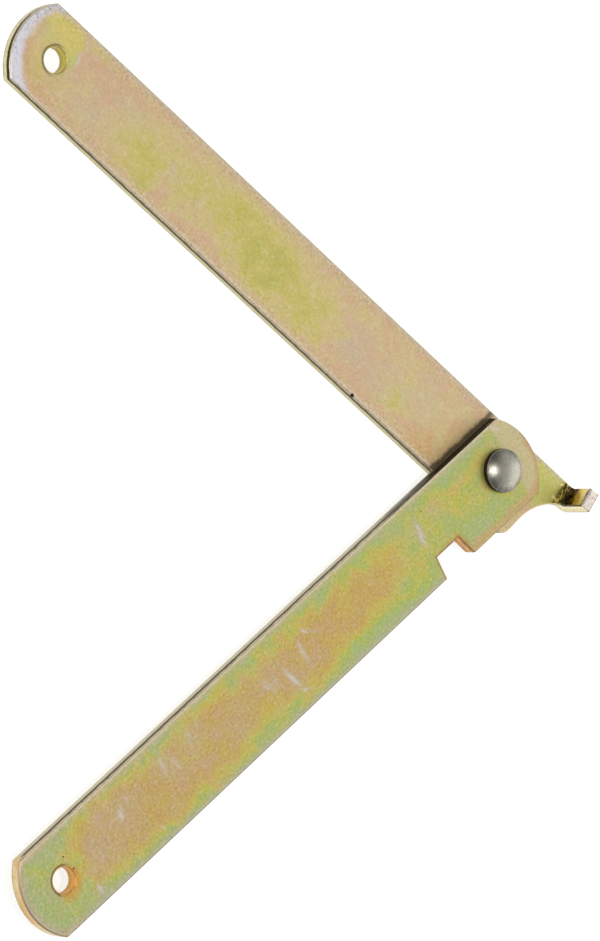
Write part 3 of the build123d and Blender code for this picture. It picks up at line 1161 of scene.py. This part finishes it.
# %% Edges of the tab arm
TAB_EDGE_PALE_LIT = shade(216, 200, 176)
TAB_EDGE_GREY = shade(194, 184, 166)
WORN_SILVER = shade(220, 220, 232)
WORN_PITS = shade(158, 152, 150)
TAB_RUBBED = [
    (3.9, 2.4, 1.2, 2.4, 10, 0.8),
    (3.6, 5.6, 0.7, 1.4, 0, 0.6),
    (69.0, -6.0, 3.0, 1.0, 10, 0.35),
]
TAB_SCRATCHES = [
    (30.0, 2.0, 3.0, 0.1, 20, 0.4),
    (45.0, -2.0, 3.4, 0.1, 160, 0.35),
    (70.0, 3.0, 2.6, 0.1, 30, 0.4),
    (88.0, 1.0, 3.0, 0.1, 15, 0.35),
    (12.0, -3.0, 2.4, 0.1, 140, 0.35),
]


def tab_wear(bar):
    """Gives the bar its worn crescent, its scratches and its bare metal."""
    beyond = (-bar.along + (END_RADIUS - FREE_MARGIN)).most(0.0)
    arc = -(beyond * beyond + bar.across * bar.across).maths("SQRT") + END_RADIUS
    worn = arc + bar.across * 0.09 + bar.cloud * 0.35 + bar.mottle * 0.25
    bar.crescent = worn.rise(2.8, 1.1) * bar.along.rise(-0.6, -2.0)
    rubbed = bar.patches(TAB_RUBBED, place=bar.ragged)
    rubbed = (rubbed + bar.mottle * 0.35).rise(0.3, 0.85) * 0.7
    bar.scratches = bar.patches(TAB_SCRATCHES, 0.8)
    bar.bare = rubbed.most(bar.scratches) * bar.front_side
    print("scratches on the tab arm:", len(TAB_SCRATCHES))


def tab_edges(bar, colour):
    """The pale line of the outline, paler on the lower-left edge as a painted highlight, and the
    bare crescent.
    """
    tree = bar.tree
    line = (bar.inside + bar.mottle * 0.4).rise(1.2, 0.3)
    # worn pale line, painted paler on the lower-left edge as a painted highlight
    pale = tint(tree, TAB_EDGE_PALE_LIT, TAB_EDGE_GREY, bar.across.rise(-1.0, 1.0))
    colour = tint(tree, colour, pale, line * 0.65)
    pitting = (bar.mottle + bar.across * 0.08).rise(0.1, 1.2)
    silver = tint(tree, WORN_SILVER, WORN_PITS, pitting)
    return tint(tree, colour, silver, bar.crescent * 0.95)


# %% [markdown]
# ## The tab arm's brush marks and flecks
# This arm was brushed the other way, and less. It has a dapple as well, a size between the clouds
# and the mottle, and its finest grit gathers along the edges. One share for the whole face would
# look like even sand, so the share of the grit rises towards the outline.

# %% Surface of the tab arm
TAB_BRUSHED_LIGHT = shade(216, 200, 168)
TAB_BRUSHED_DARK = shade(168, 142, 98)
DAPPLE_LIGHT = shade(222, 208, 176)
DAPPLE_DARK = shade(180, 162, 116)
TAB_MOTTLE_LIGHT = shade(226, 212, 186)
TAB_MOTTLE_DARK = shade(166, 142, 98)
TAB_GRIT_LIGHT = shade(240, 228, 204)
TAB_GRIT_DARK = shade(124, 108, 72)
TAB_ROLLED_EDGE_SHADE = shade(60, 58, 40)


def tab_flecks(bar, colour):
    """Brush marks, then dapple, mottle and grit, which is strongest along the edges."""
    tree = bar.tree
    dapple = bar.noise(1.5, 2.0, seed=27)
    edged = (bar.inside + bar.cloud * 0.4).rise(3.0, 0.4) * 0.3 + 0.2
    colour = tint(tree, colour, TAB_BRUSHED_LIGHT, bar.brushed.rise(0.2, 1.4) * 0.16)
    colour = tint(tree, colour, TAB_BRUSHED_DARK, bar.brushed.rise(-0.2, -1.4) * 0.16)
    colour = flecked(tree, colour, dapple, DAPPLE_LIGHT, DAPPLE_DARK, 0.35)
    colour = flecked(tree, colour, bar.mottle, TAB_MOTTLE_LIGHT, TAB_MOTTLE_DARK, 0.2)
    return flecked(tree, colour, bar.grit, TAB_GRIT_LIGHT, TAB_GRIT_DARK, edged)


def tab_outline(bar, colour):
    """Bare zinc in the rubbed spots, and a dark line along one edge, partly the punch's rolled
    edge and partly painted shade.
    """
    colour = tint(bar.tree, colour, RUBBED_ZINC, bar.bare * 0.8)
    rolled_edge_shade = (bar.inside + bar.mottle * 0.04).rise(0.3, 0.06)
    rolled_edge_shade = rolled_edge_shade * bar.along.rise(112.0, 108.0) * bar.across.rise(-2.0, 2.0)
    print("nodes of the tab arm's face:", len(bar.tree.nodes))
    return tint(bar.tree, colour, TAB_ROLLED_EDGE_SHADE, rolled_edge_shade * 0.6)


# %% [markdown]
# ## The bend
# Bending stretches the outside of the sheet and wrinkles the inside. There the film crazes: dark
# zinc shows between bright flakes, and the corner itself is painted nearly black as painted shade.
# The crease needs relief as well as colour, so one crinkled noise drives both. The flange above is
# painted up its height, near black at its foot as painted shade and reflection, gold towards its
# top.

# %% The bend and the flange of the tab
CORNER_SHADE = shade(16, 11, 4)
BRINK_DARK = shade(24, 17, 6)
TAB_INNER = 15.8
BEND = pitch + TAB_INNER
CRAZED = [
    (0.0, (14, 10, 3)),
    (0.35, (56, 44, 12)),
    (0.5, (128, 110, 36)),
    (0.7, (206, 190, 84)),
    (1.0, (246, 236, 176)),
]
FLANGE_SHADING = [
    (0.0, (10, 6, 2)),
    (0.14, (48, 34, 8)),
    (0.3, (132, 102, 28)),
    (0.46, (200, 162, 60)),
    (0.7, (230, 206, 110)),
    (1.0, (240, 226, 170)),
]


def tab_bend(bar, colour):
    """Crazed film before the bend with painted shade in its corner, and the flange above it,
    painted dark at its foot as shade, with its dark brink.
    """
    tree = bar.tree
    crazed = colours(tree, bar.crinkle * 0.5 + 0.5, CRAZED)
    # painted shade in the inner corner of the bend
    corner = bar.along.rise(BEND - 1.1, BEND - 0.5)
    crazed = tint(tree, crazed, CORNER_SHADE, corner * 0.7)
    colour = tint(tree, colour, crazed, bar.before_bend * 0.95)
    # the flange runs from painted shade at its foot to gold at its top
    flange = colours(tree, bar.up * 0.2 + bar.crinkle * 0.2 + bar.grit * 0.06, FLANGE_SHADING)
    brink = bar.up.rise(4.55, 4.85).most(bar.up.rise(4.2, 4.6) * bar.crinkle.rise(0.1, 0.5))
    flange = tint(tree, flange, BRINK_DARK, brink * 0.8)
    return tint(tree, colour, flange, bar.risen)


def tab_relief(bar):
    """(roughness, height in millimetres) of the face, with the wrinkles of the bend."""
    roughness = bar.mottle * 0.03 + (-bar.bare * 0.08 - bar.crescent * 0.1 + 0.46)
    grain = bar.noise(0.2, 3.0, seed=19)
    height = grain * 0.002 + bar.mottle * 0.003 + bar.brushed * 0.001 - bar.scratches * 0.01
    return roughness, height + bar.crinkle * bar.before_bend.most(bar.risen) * 0.03


print("the bend begins", round(BEND, 2), "mm along the tab arm")


# %% [markdown]
# ## Walls, nick and painted shadow of the tab arm
# The tab's sheared sides are pale with one dark line, and its cut end is a pitted silver-pink. The
# lower wall has a small nick, painted as a dark spot, and a shadow of the notched arm's edge is
# painted on the face beside it.

# %% Walls of the tab arm
TAB_HOLE_WALL = shade(194, 178, 88)
SHEARED_PALE = shade(236, 226, 184)
SHEARED_LINE = shade(58, 44, 18)
CUT_SILVER = shade(236, 224, 212)
CUT_PITS = shade(96, 78, 64)
TAB_TORN = shade(214, 207, 152)
TAB_END_TORN = shade(230, 226, 176)
NICK = ((80.6, -7.8), (0.5, 0.45))
OVERLAP_LEAN = 0.305  # the tangent of the angle at which the notched arm crosses this one


def tab_walls(bar):
    """(torn colour, even share, even colour, lit side) of the tab arm's walls."""
    tree = bar.tree
    hole = bar.patch((0.0, 0.0), (HOLE_REACH, HOLE_REACH), soft=0.1)
    tab_wall = bar.along.rise(BEND - 1.5, BEND - 0.2)
    end_wall = bar.along.rise(-2.0, -4.0)
    even_colour = tint(tree, TAB_HOLE_WALL, SHEARED_PALE, tab_wall)
    line = bar.deep.rise(0.45, 0.2) * tab_wall
    even_colour = tint(tree, even_colour, SHEARED_LINE, line * 0.9)
    pitted = bar.noise(0.5, 3.0, seed=21, rough=0.75).rise(0.0, 0.8)
    silver = tint(tree, CUT_SILVER, CUT_PITS, pitted * 0.85)
    even_colour = tint(tree, even_colour, silver, bar.top)
    end_share = end_wall * bar.cloud.rise(-0.4, 0.5)
    torn_colour = tint(tree, TAB_TORN, TAB_END_TORN, end_share)
    return torn_colour, hole.most(tab_wall), even_colour, bar.wall


def tab_shadow_and_nick(bar):
    """A dark spot at the nick, and a painted shadow of the notched arm's edge on the face beside
    it.
    """
    nick = bar.patch(*NICK, 0, 0.5) * bar.up.rise(-0.9, -0.6)
    painted_shadow = bar.along - bar.across * OVERLAP_LEAN + bar.mottle * 0.25 + bar.cloud * 0.3
    painted_shadow = painted_shadow.rise(103.1, 103.75) * bar.along.rise(107.5, 106.0)
    return nick.most(painted_shadow * bar.wall.inverse() * bar.front_side * 0.72)


print("the nick lies", NICK[0], "mm along and across the tab arm")


# %% [markdown]
# ## The tab arm, layer by layer
# The order is the same as on the notched arm. The bend comes last: the steel was bent after
# plating, so its cracks run through every layer.

# %% Finish the tab arm
TAB_RIM_SHADE = shade(80, 70, 40)
TAB_BRUSHING = -20


def paint_tab(bar):
    grade(bar, (11, 12, 16, 22, 17), (10.0, 1.5), 3.0, TAB_BRUSHING)
    bar.grit = bar.noise(0.5, 1.0, seed=26)
    bar.crinkle = bar.noise(0.9, 3.0, (0.7, 1.6, 1.0), seed=18, rough=0.7) * 1.6
    bar.inside = outline_distance(bar, NO_TIP)
    bar.ragged = bar.warped(bar.cloud + bar.drift, 1.2)
    bar.before_bend = (bar.along + bar.crinkle * 0.5).rise(BEND - 3.2, BEND - 1.8)
    tab_wear(bar)
    colour = tab_film(bar)
    for layer in (tab_clouds, tab_frost, tab_ends):
        colour = layer(bar, colour)
    # painted shade on the screw hole's near rim
    colour = brimmed(bar, colour, TAB_RIM_SHADE, (1.2, 0.2), 0.75)
    for layer in (tab_edges, tab_flecks, tab_outline, tab_bend):
        colour = layer(bar, colour)
    return (colour, *tab_relief(bar)), tab_walls(bar), tab_shadow_and_nick(bar)


tab_node = frame["nodes"]["tab_arm"]
finish_bar("yellow_zinc_tab", tab_node, paint_tab, tab_hole, tab_along, tab_front, BEND)

# %% [markdown]
# ## The rivet
# The rivet is bare steel. Its domed head was struck in a die, which leaves faint rings, and knocks
# from tools run outwards to its edge. Both patterns turn round its axis, so the noises are read in
# turn and radius instead of x and y. The relief stays tiny, or the highlight breaks up.

# %% Marks on the rivet's head
def round_noise(tree, along, around, up=0.0, detail=3.0):
    """Noise from -1 to 1 that is laid round the rivet's axis."""
    place = node(tree, "CombineXYZ", X=along, Y=around, Z=up)
    noise = node(tree, "TexNoise", Vector=place.outputs[0], Scale=1.0, Detail=detail)
    return (Field(tree, noise.outputs[0]) - 0.5) * 2.0


def rivet_axes(tree):
    """(place, x, y, z) in millimetres from the pivot's axis."""
    coordinate = node(tree, "TexCoord").outputs["Object"]
    own = node(tree, "Mapping", {"vector_type": "TEXTURE"}, Vector=coordinate)
    own.inputs["Location"].default_value = (pivot.x, pivot.y, 0.0)
    own.inputs["Scale"].default_value = (MM, MM, MM)
    split = node(tree, "SeparateXYZ", Vector=own.outputs["Vector"])
    print("the rivet's axis stands at", round(pivot.x / MM, 2), round(pivot.y / MM, 2), "mm")
    return own.outputs["Vector"], *(Field(tree, out) for out in split.outputs)


# %% Material of the rivet
RIVET_STEEL = [(0.0, (96, 94, 84)), (0.5, (150, 147, 136)), (1.0, (186, 183, 172))]
RIVET_SIDE_SHADE = shade(28, 25, 20)


def finish_rivet():
    material = bpy.data.materials.new("bare_steel_rivet")
    material.use_nodes = True
    tree = material.node_tree
    tree.nodes.clear()
    place, x, y, z = rivet_axes(tree)
    radius = (x * x + y * y).maths("SQRT")
    turn = y.maths("ARCTAN2", x)
    scuffs = round_noise(tree, turn * 9.0, radius * 0.35, z * 0.3)
    rings = round_noise(tree, radius * 5.0, turn * 0.25, detail=2.0)
    grain = node(tree, "TexNoise", Vector=place, Scale=4.0, Detail=3.0)
    grain = (Field(tree, grain.outputs[0]) - 0.5) * 2.0
    outer, rim = radius.rise(1.0, 3.4), radius.rise(2.5, 3.6)
    level = scuffs * 0.3 * outer + grain * 0.4 + rings * 0.12 + 0.57 - rim * 0.3
    # the head's side is painted near black: painted shade and a painted dark reflection
    side = z.rise(3.05, 2.75) * z.rise(-1.0, 0.0)
    colour = tint(tree, colours(tree, level, RIVET_STEEL), RIVET_SIDE_SHADE, side * 0.9)
    height = scuffs * outer * 0.003 + rings * 0.002
    relief = node(tree, "Bump", Height=height, Strength=1.0, Distance=MM)
    metal = node(tree, "BsdfPrincipled", Metallic=1.0, Normal=relief.outputs["Normal"])
    plug(tree, colour, metal.inputs["Base Color"])
    plug(tree, scuffs * outer * 0.04 + 0.31, metal.inputs["Roughness"])
    tree.links.new(metal.outputs[0], node(tree, "OutputMaterial").inputs["Surface"])
    for slot in frame["nodes"]["rivet"].material_slots:
        slot.material = material
    return material


rivet_finish = finish_rivet()
print(rivet_finish.name, "has", len(rivet_finish.node_tree.nodes), "nodes")

# %% [markdown] ## Last words: no surface was added and no solid was moved.
